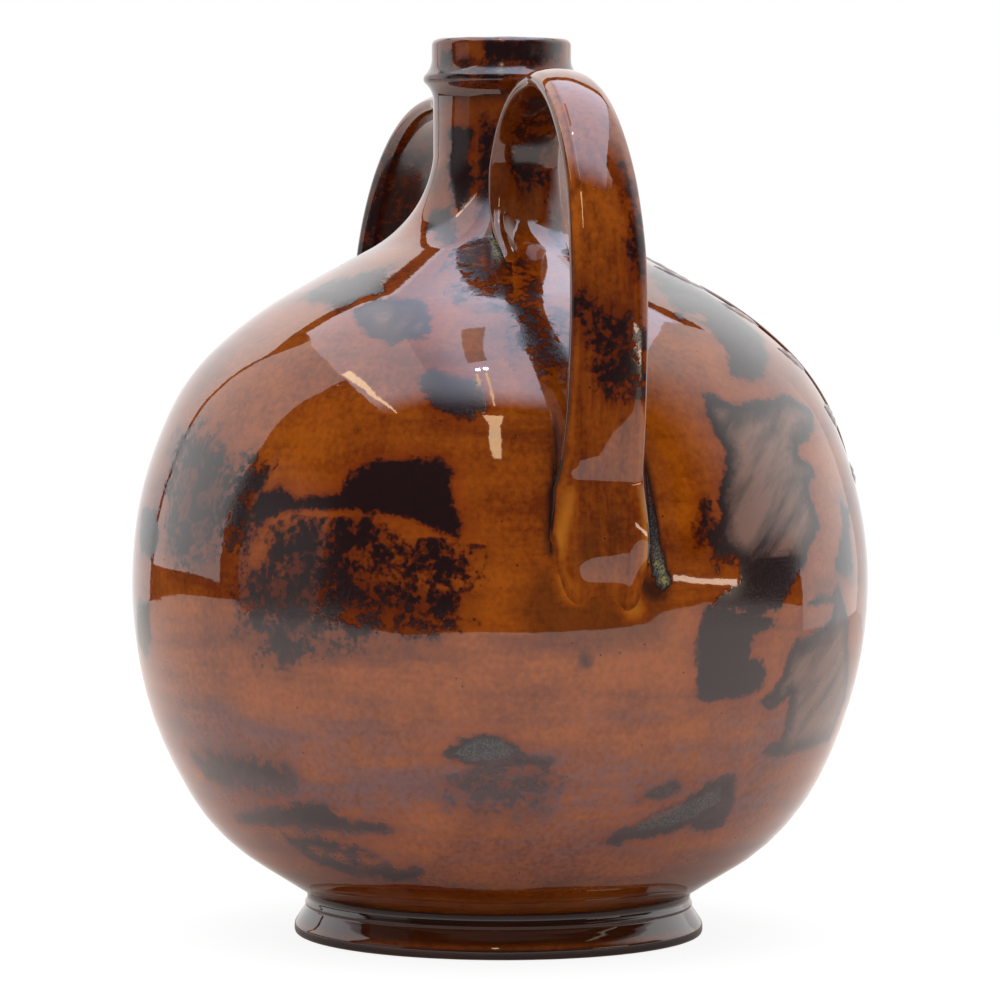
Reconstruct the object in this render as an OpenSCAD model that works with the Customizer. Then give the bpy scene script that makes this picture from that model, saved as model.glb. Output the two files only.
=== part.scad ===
// Globular two-handled flask of glazed earthenware, in millimetres, +Z up.
// The origin is on the table under the middle of the foot. The handles lie along X,
// the near one at +X, and the leafy relief faces +Y.

/* [Globe] */
// Radius of the globe at its widest line
globe_r = 123.5; // [103:0.5:148]
// Wall of the thrown globe
wall = 6; // [5:0.1:7.2]
// Thickness of the floor
floor_t = 8; // [6.5:0.1:9.8]
// Depth of the lapped joints between the thrown pieces
lap = 3; // [2:0.1:4]

/* [Neck] */
// Outer radius of the neck
neck_r = 22.9; // [21:0.1:27.5]
// Radius of the bore down the neck
bore_r = 17; // [14:0.1:18]
// Straight length of the neck below the bead
neck_h = 15.8; // [13:0.1:19]
// Radius at which the shoulder starts to turn up into the neck
flare_r = 43; // [36:0.5:52]
// How far the bead stands out from the neck
bead_out = 3.3; // [2.7:0.1:4]
// Rounding of the bead's edge
bead_round = 2.2; // [1.8:0.1:2.6]
// Hollow curve above the bead
lip_cove = 7.5; // [6:0.1:9]
// Upright band of the lip
lip_h = 4.4; // [3.6:0.1:5.3]
// Rounding of the lip's outer edge
lip_round = 2.2; // [1.8:0.1:2.6]

/* [Foot] */
// Radius of the foot at the table
foot_r = 68.8; // [66:0.1:82]
// Narrowest radius, in the hollow under the globe
foot_neck_r = 64.5; // [60:0.1:66]
// Height of the joint between foot and globe
foot_h = 14.8; // [13:0.1:17.7]
// Upright band at the table
foot_band_h = 4; // [3.3:0.1:4.8]
// Rounding of the hollow under the globe
foot_cove = 2.9; // [2.4:0.1:3.4]
// Inner radius of the foot ring
foot_inner_r = 55; // [46:0.5:57]
// Height of the globe's base above the table
base_z = 11; // [9.2:0.1:12]

/* [Handles] */
// Width of the pulled strap
strap_w = 26.2; // [21.5:0.1:31.5]
// Thickness of the pulled strap
strap_t = 8.2; // [6.8:0.1:9.8]
// How far the strap's middle stands outside the globe's widest radius
leg_out = 0.7; // [0:0.1:3]
// Height above the table at which the strap stands furthest out
leg_z = 205; // [190:1:215]
// Distance from the neck's wall to the top of the near handle's arch
near_arch_run = 37; // [32.5:0.5:47]
// Distance from the neck's wall to the top of the far handle's arch
far_arch_run = 24; // [20:0.5:30]
// Drop of the near arch's top below the bead's edge
near_arch_drop = 2; // [0:0.1:4]
// Drop of the far arch's top below the bead's edge
far_arch_drop = 7.2; // [5:0.1:9]
// Rise of an arch from where it leaves the neck
arch_rise = 28; // [23:0.5:33]
// Width of the strap where it is pressed onto the globe
root_w = 39; // [32:0.5:46]
// Turn of the far handle from its place opposite the near one, in degrees
far_turn = 2.4; // [-4:0.1:4]

/* [Relief] */
// Height of the applied relief
relief_h = 1.3; // [1.1:0.1:1.6]
// Half the width of the wreath on the face
wreath_w = 33; // [28:0.5:38]
// Half the height of the wreath on the face
wreath_h = 54; // [49:0.5:57]
// Length of a leaf
leaf_l = 21; // [18:0.5:24]
// Width of a leaf
leaf_w = 9; // [7.5:0.5:10.5]
// Width of the stem
stem_w = 2.6; // [2.2:0.1:3.1]
// Rise of the middle of the wreath above the widest line, in degrees
wreath_tilt = 37; // [35:0.5:40]

/* [Fits] */
// Film of slip left as a gap between pieces that are luted together
slip = 0.1; // [0.05:0.05:0.3]

/* [Hidden] */
$fn = 96;

glaze = [0.55, 0.25, 0.07];
glaze_dark = [0.30, 0.12, 0.05];

// Radii of the globe's curves as shares of its widest radius, and the slope that ends each one
belly_low = [1.125, 29.4];
hip = [0.591, 58];
belly_high = [1.077, 24.7];
shoulder = [0.623, 46.3];
shoulder_top = [0.966, 61.7];

// Greatest turn between two points of a turned outline
arc_step = 4;

function along(a) = [cos(a), sin(a)];
function last(list) = list[len(list) - 1];
function reverse(list) = [for (i = [len(list) - 1:-1:0]) list[i]];
function flip(list) = [for (p = list) [p[1], p[0]]];
function mix(a, b, t) = a + (b - a) * t;

// A run is [radius, slope at its start, slope at its end] or, straight, [0, slope, length].
// Slopes are those of the outward normal, and a hollow curve has a radius below zero.
function run(p, r) =
  r[0] == 0
    ? [p + r[2] * [-sin(r[1]), cos(r[1])]]
    : let(c = p - r[0] * along(r[1]), n = max(2, ceil(abs(r[2] - r[1]) / arc_step)))
      [for (i = [1:n]) c + r[0] * along(mix(r[1], r[2], i / n))];

function outline(p, runs, i = 0) =
  i == len(runs) ? [] : let(points = run(p, runs[i])) concat(points, outline(last(points), runs, i + 1));

// The run from p, where the outward normal has slope a, to q, going down
function run_down_to(p, a, q) =
  let(d = q - p, turn = (a - 90) - atan2(d[1], d[0])) [norm(d) / (2 * sin(turn)), a, a - 2 * turn];

// The foot's joint with the globe, and the height of the widest line that follows from it
cove_slope = 50;
joint_r = foot_neck_r + foot_cove * (1 - cos(cove_slope));
hip_r = globe_r * (1 - belly_low[0] * (1 - cos(belly_low[1])) - hip[0] * (cos(belly_low[1]) - cos(hip[1])));
hip_drop = globe_r * (belly_low[0] * sin(belly_low[1]) + hip[0] * (sin(hip[1]) - sin(belly_low[1])));
equator_z = foot_h + (hip_r - joint_r) / tan(hip[1]) + hip_drop;
base_r = joint_r - (foot_h - base_z) * tan(hip[1]);

// Outline of the globe above its widest line, moved out by d, as far as the hollow curve of the neck
function dome_runs(d) =
  [[belly_high[0] * globe_r + d, 0, belly_high[1]],
   [shoulder[0] * globe_r + d, belly_high[1], shoulder[1]],
   [shoulder_top[0] * globe_r + d, shoulder[1], shoulder_top[1]]];
slope = shoulder_top[1];
dome_top = last(outline([globe_r, equator_z], dome_runs(0)));
cone_l = (dome_top[0] - flare_r) / sin(slope);
flare = dome_top + cone_l * [-sin(slope), cos(slope)];
function to_neck(d, r) =
  let(p = flare + d * along(slope)) [-(p[0] - r) / (1 - cos(slope)), slope, 0];
function dome_line(d) =
  concat([[globe_r + d, equator_z]],
         outline([globe_r + d, equator_z], concat(dome_runs(d), [[0, slope, cone_l], to_neck(d, neck_r + d)])));
neck_z = last(dome_line(0))[1];

// Outline of the globe below its widest line, moved out by d
function bowl_runs(d) =
  [[belly_low[0] * globe_r + d, 0, -belly_low[1]], [hip[0] * globe_r + d, -belly_low[1], -hip[1]]];

// Bead and lip
bead_slope = 50;
lip_slope = 45;
bead_cove = (bead_out - bead_round * (1 - cos(bead_slope))) / (1 - cos(bead_slope));
neck_line = outline([neck_r, neck_z],
  [[0, 0, neck_h], [-bead_cove, 0, -bead_slope], [bead_round, -bead_slope, lip_slope],
   [-lip_cove, lip_slope, 0], [0, 0, lip_h], [lip_round, 0, 90]]);
bead_z = neck_z + neck_h + (bead_cove + bead_round) * sin(bead_slope);
top_z = last(neck_line)[1];
mouth_round = 1.2;

// Inside of the vessel, from the floor up to the mouth
floor_z = base_z + floor_t;
bowl_inside_top = [globe_r - wall, equator_z];
bowl_inside = outline(bowl_inside_top, bowl_runs(-wall));
floor_curve = (last(bowl_inside)[1] - floor_z) / (1 - sin(hip[1]));
bowl_floor = outline(last(bowl_inside), [[floor_curve, -hip[1], -90]]);
inside_line = concat(
  [[0, floor_z]], reverse(bowl_floor), reverse(bowl_inside), [bowl_inside_top],
  outline(bowl_inside_top, concat(dome_runs(-wall), [[0, slope, cone_l], to_neck(-wall, bore_r)])),
  [[bore_r, top_z - mouth_round]],
  outline([bore_r, top_z - mouth_round], [[-mouth_round, 0, -90]]));
outside_line = concat(
  [[0, base_z], [base_r, base_z], [joint_r, foot_h]],
  reverse(outline([globe_r, equator_z], bowl_runs(0))),
  dome_line(0), neck_line);

// The thrown wall in section. It is parted at two lapped joints, one at the widest line and
// one at the foot of the neck, where the inner half of the upper or lower piece laps past the cut.
module wall_section() {
  polygon(concat(outside_line, reverse(inside_line)));
}

seam_r = globe_r - wall / 2;
neck_seam_r = flare_r - wall;
reach = 2 * globe_r;

module below(z, r = reach) {
  translate([0, -reach]) square([r, reach + z]);
}

module above(z, r0 = 0) {
  translate([r0, z]) square([reach, reach]);
}

module bowl_zone() {
  union() {
    below(equator_z);
    below(equator_z + lap, seam_r);
  }
}

module neck_zone() {
  union() {
    above(flare[1]);
    intersection() {
      above(flare[1] - lap);
      below(reach, neck_seam_r);
    }
  }
}

module dome_zone() {
  difference() {
    above(equator_z + slip);
    below(equator_z + lap + slip, seam_r + slip);
    above(flare[1] - slip);
    intersection() {
      above(flare[1] - lap - slip);
      below(reach, neck_seam_r + slip);
    }
  }
}

module lower_bowl() {
  color(glaze) rotate_extrude() intersection() {
    wall_section();
    bowl_zone();
  }
}

module upper_dome() {
  color(glaze) rotate_extrude() intersection() {
    wall_section();
    dome_zone();
  }
}

module neck() {
  color(glaze) rotate_extrude() intersection() {
    wall_section();
    neck_zone();
  }
}

// Turned foot ring: a hollow under the globe, a swelling flank and an upright band at the table
module foot_ring() {
  edge = 1;
  seat = slip * [sin(hip[1]), -cos(hip[1])];
  cove = outline([joint_r, foot_h], [[-foot_cove, -cove_slope, 45]]);
  flank = run_down_to(last(cove), 45, [foot_r - 0.3, foot_band_h]);
  inner_draft = 1.5;
  color(glaze_dark) rotate_extrude() polygon(reverse(concat(
    [[joint_r, foot_h] + seat], cove, outline(last(cove), [flank]),
    [[foot_r, foot_band_h - 0.6], [foot_r, edge], [foot_r - edge, 0]],
    [[foot_inner_r + edge, 0], [foot_inner_r, edge], [foot_inner_r - inner_draft, base_z - slip]],
    [[base_r, base_z - slip] + [seat[0], 0]])));
}

// Half the strap's section, as shares of its half width and half thickness. The outer face has a
// ridge along each edge, a groove beside it and a swelling middle; the inner face is nearly flat.
outer_face = [[0, 1.08], [0.4, 0.94], [0.58, 0.72], [0.68, 0.76], [0.82, 1], [0.94, 0.66], [1, 0]];
inner_face = [[0.94, -0.62], [0.8, -0.92], [0.5, -0.84]];
strap_section = concat(
  [for (p = reverse(outer_face)) [-p[0], p[1]]], [for (i = [1:len(outer_face) - 1]) outer_face[i]],
  inner_face, [[0, -0.82]], [for (p = reverse(inner_face)) [-p[0], p[1]]]);

// Stations along a handle: 0 tip on the shoulder, 1 up the neck, 2 top of the arch,
// 3 furthest out, 4 pressed onto the globe, 5 its lower end
half_t = strap_t / 2;
leg_r = globe_r + leg_out;
near_top = [neck_r + near_arch_run, bead_z - near_arch_drop];
far_top = [neck_r + far_arch_run, bead_z - far_arch_drop];
root_slope = 16;
tip_l = 9;

function bezier(a, b, c, d, t) =
  let(s = 1 - t) s * s * s * a + 3 * s * s * t * b + 3 * s * t * t * c + t * t * t * d;

function globe_side(a, d) =
  [globe_r, equator_z] - belly_high[0] * globe_r * [1, 0] + (belly_high[0] * globe_r + d) * along(a);

// Thickness that lies outside the seat, half width and middle of the strap at station u
function half_thick(u) =
  half_t * lookup(u, [[0, 0.2], [0.15, 0.5], [0.5, 0.8], [1, 0.86], [1.6, 0.98], [2, 1], [3.6, 1],
                      [4, 0.86], [4.5, 0.6], [4.85, 0.36], [5, 0.16]]);
function half_width(u) =
  let(w = strap_w / 2, r = root_w / 2)
  lookup(u, [[0, 0.35 * w], [0.1, 0.72 * w], [0.3, 0.95 * w], [0.6, 0.88 * w], [1, 0.82 * w], [1.6, 0.86 * w],
             [2, 0.88 * w], [2.35, w], [3.2, w], [3.6, mix(w, r, 0.15)], [4, mix(w, r, 0.5)], [4.6, r], [4.85, 0.95 * r], [5, 0.66 * r]]);

// Height at which an arch with its top there leaves the neck
function arch_low(top) = min(neck_z, max(top[1] - arch_rise, neck_z - 12));

function neck_side(t, d, top) =
  let(r = abs(to_neck(0, neck_r)[0]), centre = flare + r * along(slope),
      low = flare + tip_l * [sin(slope), -cos(slope)], end = asin((neck_z - arch_low(top)) / (r - d)))
  t < 0.25 ? mix(low, flare, t / 0.25) + d * along(slope)
  : centre - (r - d) * along(mix(slope, end, (t - 0.25) / 0.75));

function arch_in(t, top) =
  let(from = neck_side(1, half_thick(1), top), d = top - from, a = 90 * t)
  [top[0] - d[0] * pow(cos(a), 2 / 1.85), top[1] - d[1] * (1 - pow(sin(a), 2 / 1.85))];

function arch_out(t, top) =
  let(a = 90 * (1 - t))
  [top[0] + (leg_r - top[0]) * cos(a), leg_z + (top[1] - leg_z) * sin(a)];

function leg_down(t) =
  let(a = [leg_r, leg_z], d = globe_side(root_slope, half_thick(4)), l = (a[1] - d[1]) / 3)
  bezier(a, a - [0, l], d - l * [sin(root_slope), -cos(root_slope)], d, t);

function middle(u, top) =
  u < 1 ? neck_side(u, half_thick(u), top)
  : u < 2 ? arch_in(u - 1, top)
  : u < 3 ? arch_out(u - 2, top)
  : u < 4 ? leg_down(u - 3)
  : globe_side(root_slope * (1 - (u - 4)) - 1 * (u - 4), half_thick(u));

// Radius of the pot's surface at height z, a film of slip away from it
seat_table = flip(dome_line(slip));
neck_seat = concat(seat_table, [[neck_z + neck_h, neck_r + slip]]);
function seat_radius(z) = z < equator_z ? globe_r + slip : lookup(z, neck_seat);

// A point of the strap. Where it is luted on, the side towards the pot lies on the pot's surface.
function strap_point(u, q, top, lean) =
  let(e = 0.004, c = middle(u, top), v = middle(min(u + e, 5), top) - middle(max(u - e, 0), top), t = v / norm(v),
      p = c + q[1] * half_thick(u) * [-t[1], t[0]],
      y = q[0] * half_width(u) + lean * lookup(u, [[2.6, 0], [4, 1]]),
      seat = seat_radius(p[1]), r = norm([p[0], y]),
      luted = (u <= 1 && q[1] > 0) || (u >= 4 && q[1] < 0),
      k = luted || r < seat ? seat / r : 1)
  [p[0] * k, y * k, p[1]];

strap_stations = concat(
  [0, 0.03, 0.08], [for (i = [1:9]) 0.08 + 0.92 * i / 9], [for (i = [1:8]) 1 + i / 8],
  [for (i = [1:13]) 2 + i / 13], [for (i = [1:7]) 3 + i / 7], [for (i = [1:9]) 4 + 0.9 * i / 9], [4.96, 5]);

module strap(top, lean) {
  m = len(strap_section);
  n = len(strap_stations);
  points = [for (u = strap_stations, q = strap_section) strap_point(u, q, top, lean)];
  function middle_of(ring) = let(s = [for (j = [0:m - 1]) points[ring * m + j]]) [for (k = [0:2]) sum(s, k) / m];
  function sum(s, k, i = 0) = i == len(s) ? 0 : s[i][k] + sum(s, k, i + 1);
  sides = [for (i = [0:n - 2], j = [0:m - 1])
    let(a = i * m + j, b = i * m + (j + 1) % m, c = a + m, d = b + m)
    each [[a, b, d], [a, d, c]]];
  start = [for (j = [0:m - 1]) [n * m, (j + 1) % m, j]];
  end = [for (j = [0:m - 1]) [n * m + 1, (n - 1) * m + j, (n - 1) * m + (j + 1) % m]];
  polyhedron(concat(points, [middle_of(0), middle_of(n - 1)]), concat(sides, start, end));
}

module near_handle() {
  color(glaze) strap(near_top, -4);
}

module far_handle() {
  color(glaze) rotate(180 + far_turn) strap(far_top, 0);
}

// Relief on the face: two leafy branches that rise from a knot round a bare field.
// Its outlines are drawn flat, carried straight onto the globe and kept to a thin shell over it.
module on_face() {
  intersection() {
    translate([0, 0, equator_z]) rotate([wreath_tilt - 90, 0, 0]) rotate(180)
      linear_extrude(2 * globe_r) children();
    rotate_extrude() polygon(concat(relief_line(slip), reverse(relief_line(slip + relief_h))));
  }
}

function relief_line(d) =
  concat([[globe_r + d, equator_z - 1]], outline([globe_r + d, equator_z - 1], [[0, 0, 1]]),
         outline([globe_r + d, equator_z], concat(dome_runs(d), [[0, slope, cone_l]])));

// Angles round the wreath where pairs of leaves spring from each stem, and where the stem ends
leaf_angles = [-58, -34, -11, 12, 34];
leaf_spread = 34;
branch_gap = 12;
stem_end = 52;
function on_wreath(a, d = 0) = [(wreath_w + d) * cos(a), (wreath_h + d) * sin(a)];
function wreath_heading(a) = atan2(wreath_h * cos(a), -wreath_w * sin(a));

module branch(from, to, half) {
  n = 18;
  polygon(concat(
    [for (i = [0:n]) on_wreath(mix(from, to, i / n), half)],
    [for (i = [n:-1:0]) on_wreath(mix(from, to, i / n), -half)]));
}

module leaf() {
  r = (leaf_l * leaf_l + leaf_w * leaf_w) / (4 * leaf_w);
  translate([leaf_l / 2, 0]) intersection() {
    translate([0, r - leaf_w / 2]) circle(r);
    translate([0, leaf_w / 2 - r]) circle(r);
  }
}

module branch_leaves() {
  clear = stem_w / 2 + slip;
  difference() {
    union() {
      for (a = leaf_angles, side = [-1, 1])
        translate(on_wreath(a + (side > 0 ? 0 : 8))) rotate(wreath_heading(a) + side * leaf_spread)
          translate([clear, 0]) leaf();
      translate(on_wreath(stem_end + 1)) rotate(wreath_heading(stem_end) - 8) leaf();
      translate([wreath_w / 3.4, -wreath_h - stem_w * 1.4]) rotate(-20) leaf();
    }
    branch(-90, stem_end + 1, clear);
  }
}

module left_stem() {
  color(glaze) on_face() mirror([1, 0]) branch(branch_gap - 90, stem_end, stem_w / 2);
}

module left_leaves() {
  color(glaze) on_face() mirror([1, 0]) branch_leaves();
}

module right_stem() {
  color(glaze) on_face() branch(branch_gap - 90, stem_end, stem_w / 2);
}

module right_leaves() {
  color(glaze) on_face() branch_leaves();
}

module wreath_knot() {
  color(glaze) on_face() translate([0, -wreath_h]) circle(wreath_w * sin(branch_gap) - 0.5);
}

lower_bowl();
upper_dome();
neck();
foot_ring();
near_handle();
far_handle();
left_stem();
left_leaves();
right_stem();
right_leaves();
wreath_knot();
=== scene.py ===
import math
import random

import bpy
import numpy as np
from mathutils import Matrix, Vector


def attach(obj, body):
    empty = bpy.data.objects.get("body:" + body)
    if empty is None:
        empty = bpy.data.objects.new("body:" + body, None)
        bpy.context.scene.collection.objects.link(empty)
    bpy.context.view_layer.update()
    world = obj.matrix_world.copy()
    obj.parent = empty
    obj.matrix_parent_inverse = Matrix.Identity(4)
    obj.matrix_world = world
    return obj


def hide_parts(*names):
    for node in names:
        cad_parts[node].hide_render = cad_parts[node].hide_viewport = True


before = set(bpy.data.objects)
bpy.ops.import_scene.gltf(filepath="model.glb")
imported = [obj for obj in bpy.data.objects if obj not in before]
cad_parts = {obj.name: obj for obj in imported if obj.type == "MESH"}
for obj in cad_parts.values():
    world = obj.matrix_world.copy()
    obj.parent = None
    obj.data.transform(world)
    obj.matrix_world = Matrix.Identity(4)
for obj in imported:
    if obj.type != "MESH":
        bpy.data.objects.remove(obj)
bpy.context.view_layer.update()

# ---------------------------------------------------------------------------------------------
# The treacle glaze
# A lead glaze coloured with iron and manganese, thick and glassy, poured over red-buff
# earthenware. Honey brown where it lies even, yellower where it thins over ridges, near black
# where manganese was dabbed on or where it pooled. All the pieces were dipped together.


def linear(hex_colour):
    """sRGB hex to the linear RGBA that a shader socket takes."""
    srgb = [int(hex_colour[i:i + 2], 16) / 255 for i in (1, 3, 5)]
    return [c / 12.92 if c <= 0.04045 else ((c + 0.055) / 1.055) ** 2.4 for c in srgb] + [1]


def add(tree, kind, links=None, **settings):
    """Adds a node; links maps input names or numbers to values or to other nodes' outputs."""
    node = tree.nodes.new("ShaderNode" + kind)
    for name, value in settings.items():
        setattr(node, name, value)
    for key, value in (links or {}).items():
        if isinstance(value, bpy.types.NodeSocket):
            tree.links.new(value, node.inputs[key])
        else:
            node.inputs[key].default_value = value
    return node


def per_mm(size):
    """Noise scale whose features are about size mm across, as object space is in metres."""
    return 1000 / size


glaze = bpy.data.materials.new("treacle_glazed_earthenware")
glaze.use_nodes = True
tree = glaze.node_tree
tree.nodes.clear()
place = add(tree, "TexCoord").outputs["Object"]

# Four fields come with each mesh: mm inside a manganese dab, how far its edge feathers in mm, how
# deep the glaze lies, from -1 thin over a ridge to 1 pooled and 2 grown over with crystals, and
# whether the clay was thrown round (0) or pulled lengthwise (1).
dab = add(tree, "Attribute", attribute_name="dab").outputs["Fac"]
feather = add(tree, "Attribute", attribute_name="feather").outputs["Fac"]
depth = add(tree, "Attribute", attribute_name="depth").outputs["Fac"]
pulled = add(tree, "Attribute", attribute_name="pulled").outputs["Fac"]

# Clots of 7 mm, grain of 1.6 mm, and streaks: level and some 70 mm long where the wet glaze was
# wiped round the pot, upright and fine where it ran along a strap.
clots = add(tree, "TexNoise", {"Vector": place, "Scale": per_mm(7), "Detail": 4, "Roughness": 0.58}).outputs["Fac"]
grain = add(tree, "TexNoise", {"Vector": place, "Scale": per_mm(2.0), "Detail": 2, "Roughness": 0.5}).outputs["Fac"]
stretch = add(tree, "Mix", {0: pulled, 4: (0.22, 0.22, 1.5), 5: (5.0, 5.0, 0.35)}, data_type="VECTOR").outputs[1]
along = add(tree, "VectorMath", {0: place, 1: stretch}, operation="MULTIPLY").outputs[0]
streaks = add(tree, "TexNoise", {"Vector": along, "Scale": per_mm(16), "Detail": 6, "Roughness": 0.62}).outputs["Fac"]
streak = add(tree, "Math", {0: streaks, 1: 0.5}, operation="SUBTRACT").outputs[0]
spread = add(tree, "Math", {0: clots, 1: 0.5}, operation="SUBTRACT").outputs[0]
fine = add(tree, "Math", {0: grain, 1: 0.5}, operation="SUBTRACT").outputs[0]

# The torn edge of a dab: clots and grain push it in and out by as much as it feathers.
ragged = add(tree, "Math", {0: spread, 1: 1.5, 2: fine}, operation="MULTIPLY_ADD").outputs[0]
edge = add(tree, "Math", {0: ragged, 1: feather, 2: dab}, operation="MULTIPLY_ADD").outputs[0]
edge = add(tree, "Math", {0: streak, 1: 7.0, 2: edge}, operation="MULTIPLY_ADD").outputs[0]
feathery = add(tree, "MapRange", {"Value": feather, "From Min": 6, "From Max": 13}).outputs[0]
reach = add(tree, "Math", {0: feather, 1: 0.34, 2: 0.25}, operation="MULTIPLY_ADD").outputs[0]
reach = add(tree, "Math", {0: feathery, 1: 2.6, 2: reach}, operation="MULTIPLY_ADD").outputs[0]
sharp = add(tree, "Math", {0: edge, 1: reach}, operation="DIVIDE").outputs[0]
sharp = add(tree, "Math", {0: feathery, 1: 0.55, 2: sharp}, operation="MULTIPLY_ADD").outputs[0]
dose = add(tree, "MapRange", {"Value": sharp, "From Min": -1, "From Max": 1}, interpolation_type="SMOOTHSTEP").outputs[0]
halo = add(tree, "MapRange", {"Value": edge, "From Min": -7, "From Max": 0.5}, interpolation_type="SMOOTHSTEP").outputs[0]

# Inside the widest dabs a dull bloom follows brush strokes that rise to the right, and the
# feathery dabs are speckled all through.
STROKE = (-0.45, 0.62, 0.64)
travel = add(tree, "VectorMath", {0: place, 1: STROKE}, operation="DOT_PRODUCT").outputs["Value"]
travel = add(tree, "Math", {0: travel, 1: -0.8}, operation="MULTIPLY").outputs[0]
squeeze = add(tree, "VectorMath", {0: STROKE, "Scale": travel}, operation="SCALE").outputs[0]
stroke_place = add(tree, "VectorMath", {0: place, 1: squeeze}, operation="ADD").outputs[0]
strokes = add(tree, "TexNoise", {"Vector": stroke_place, "Scale": per_mm(11), "Detail": 5, "Roughness": 0.6}).outputs["Fac"]
worn = add(tree, "MapRange", {"Value": strokes, "From Min": 0.33, "From Max": 0.56, "To Max": 0.85}).outputs[0]
crisp = add(tree, "MapRange", {"Value": feather, "From Min": 3.9, "From Max": 3.1}).outputs[0]
inner = add(tree, "MapRange", {"Value": edge, "From Min": 1, "From Max": 8, "To Max": crisp}, interpolation_type="SMOOTHSTEP").outputs[0]
bloom = add(tree, "Math", {0: worn, 1: inner}, operation="MULTIPLY").outputs[0]
speckled = add(tree, "MapRange", {"Value": ragged, "From Min": -0.2, "From Max": 0.1, "To Min": 0.4}).outputs[0]
mottle = add(tree, "Mix", {0: feathery, 2: 1.0, 3: speckled}).outputs[0]
dose = add(tree, "Math", {0: dose, 1: mottle}, operation="MULTIPLY").outputs[0]
smudge = add(tree, "MapRange", {"Value": streaks, "From Min": 0.55, "From Max": 0.8, "To Max": 0.4}).outputs[0]
dose = add(tree, "Math", {0: dose, 1: smudge}, operation="MAXIMUM").outputs[0]

# The honey ground drifts between brown and amber over 20 to 30 mm.
drift = add(tree, "TexNoise", {"Vector": place, "Scale": per_mm(34), "Detail": 5, "Roughness": 0.6}).outputs["Fac"]
lift = add(tree, "Math", {0: fine, 1: 0.5, 2: drift}, operation="MULTIPLY_ADD").outputs[0]
lift = add(tree, "Math", {0: streak, 1: -0.7, 2: lift}, operation="MULTIPLY_ADD").outputs[0]
tone = add(tree, "MapRange", {"Value": lift, "From Min": 0.3, "From Max": 0.72}).outputs[0]
honey = add(tree, "Mix", {0: tone, 6: linear("#5e2505"), 7: linear("#8c450b")}, data_type="RGBA").outputs[2]
thin = add(tree, "MapRange", {"Value": depth, "From Min": 0, "From Max": -1}).outputs[0]
honey = add(tree, "Mix", {0: thin, 6: honey, 7: linear("#a2621a")}, data_type="RGBA").outputs[2]
deep = add(tree, "MapRange", {"Value": depth, "From Min": 0, "From Max": 1}).outputs[0]
honey = add(tree, "Mix", {0: deep, 6: honey, 7: linear("#22100a")}, data_type="RGBA").outputs[2]
warm = add(tree, "Math", {0: halo, 1: 0.45}, operation="MULTIPLY").outputs[0]
honey = add(tree, "Mix", {0: warm, 6: honey, 7: linear("#6a2404")}, data_type="RGBA").outputs[2]

# Low on the belly, in level streaks, honey and dabs are dulled towards a lilac grey: partly a thin
# film of lilac crystals, partly a painted tint of the table's reflection there.
height_up = add(tree, "SeparateXYZ", {0: place}).outputs["Z"]
low_down = add(tree, "MapRange", {"Value": height_up, "From Min": 0.094, "From Max": 0.07}).outputs[0]
below = add(tree, "MapRange", {"Value": height_up, "From Min": 0.026, "From Max": 0.05}).outputs[0]
low_down = add(tree, "Math", {0: low_down, 1: below}, operation="MULTIPLY").outputs[0]
patchy = add(tree, "Math", {0: clots, 1: 0.5, 2: streaks}, operation="MULTIPLY_ADD").outputs[0]
patchy = add(tree, "Math", {0: fine, 1: 0.5, 2: patchy}, operation="MULTIPLY_ADD").outputs[0]
patchy_film_and_tint = add(tree, "MapRange", {"Value": patchy, "From Min": 0.7, "From Max": 0.92, "To Max": 0.62}).outputs[0]
film_and_reflection_tint = add(tree, "Math", {0: low_down, 1: patchy_film_and_tint}, operation="MULTIPLY").outputs[0]

# A little manganese turns the honey red-brown, all of it nearly black.
some = add(tree, "MapRange", {"Value": dose, "From Max": 0.5}).outputs[0]
full = add(tree, "MapRange", {"Value": dose, "From Min": 0.35, "From Max": 0.95}, interpolation_type="SMOOTHSTEP").outputs[0]
colour = add(tree, "Mix", {0: some, 6: honey, 7: linear("#4e1c07")}, data_type="RGBA").outputs[2]
colour = add(tree, "Mix", {0: full, 6: colour, 7: linear("#1c0709")}, data_type="RGBA").outputs[2]
colour = add(tree, "Mix", {0: bloom, 6: colour, 7: linear("#76564a")}, data_type="RGBA").outputs[2]
on_dabs = add(tree, "Math", {0: full, 1: -0.5, 2: 1.0}, operation="MULTIPLY_ADD").outputs[0]
over = add(tree, "Math", {0: film_and_reflection_tint, 1: on_dabs}, operation="MULTIPLY").outputs[0]
# Lilac grey of the film, partly a painted reflection tint low on the belly.
colour = add(tree, "Mix", {0: over, 6: colour, 7: linear("#5f4147")}, data_type="RGBA").outputs[2]

# Where glaze pooled deepest it grew grey-blue and yellow-green crystals of half a millimetre.
crystals = add(tree, "TexNoise", {"Vector": place, "Scale": per_mm(0.7), "Detail": 2, "Roughness": 0.6}).outputs["Fac"]
grown = add(tree, "MapRange", {"Value": depth, "From Min": 1, "From Max": 2}).outputs[0]
yellow = add(tree, "MapRange", {"Value": add(tree, "Math", {0: clots, 1: 0.8, 2: crystals}, operation="MULTIPLY_ADD").outputs[0], "From Min": 0.86, "From Max": 1.1}).outputs[0]
thickest = add(tree, "MapRange", {"Value": depth, "From Min": 1.45, "From Max": 1.9}).outputs[0]
yellow = add(tree, "Math", {0: yellow, 1: thickest}, operation="MULTIPLY").outputs[0]
frost = add(tree, "MapRange", {"Value": crystals, "From Min": 0.42, "From Max": 0.62}).outputs[0]
crust = add(tree, "Mix", {0: frost, 6: linear("#2b2f33"), 7: linear("#5a625f")}, data_type="RGBA").outputs[2]
crust = add(tree, "Mix", {0: yellow, 6: crust, 7: linear("#857a42")}, data_type="RGBA").outputs[2]
colour = add(tree, "Mix", {0: grown, 6: colour, 7: crust}, data_type="RGBA").outputs[2]

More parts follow.
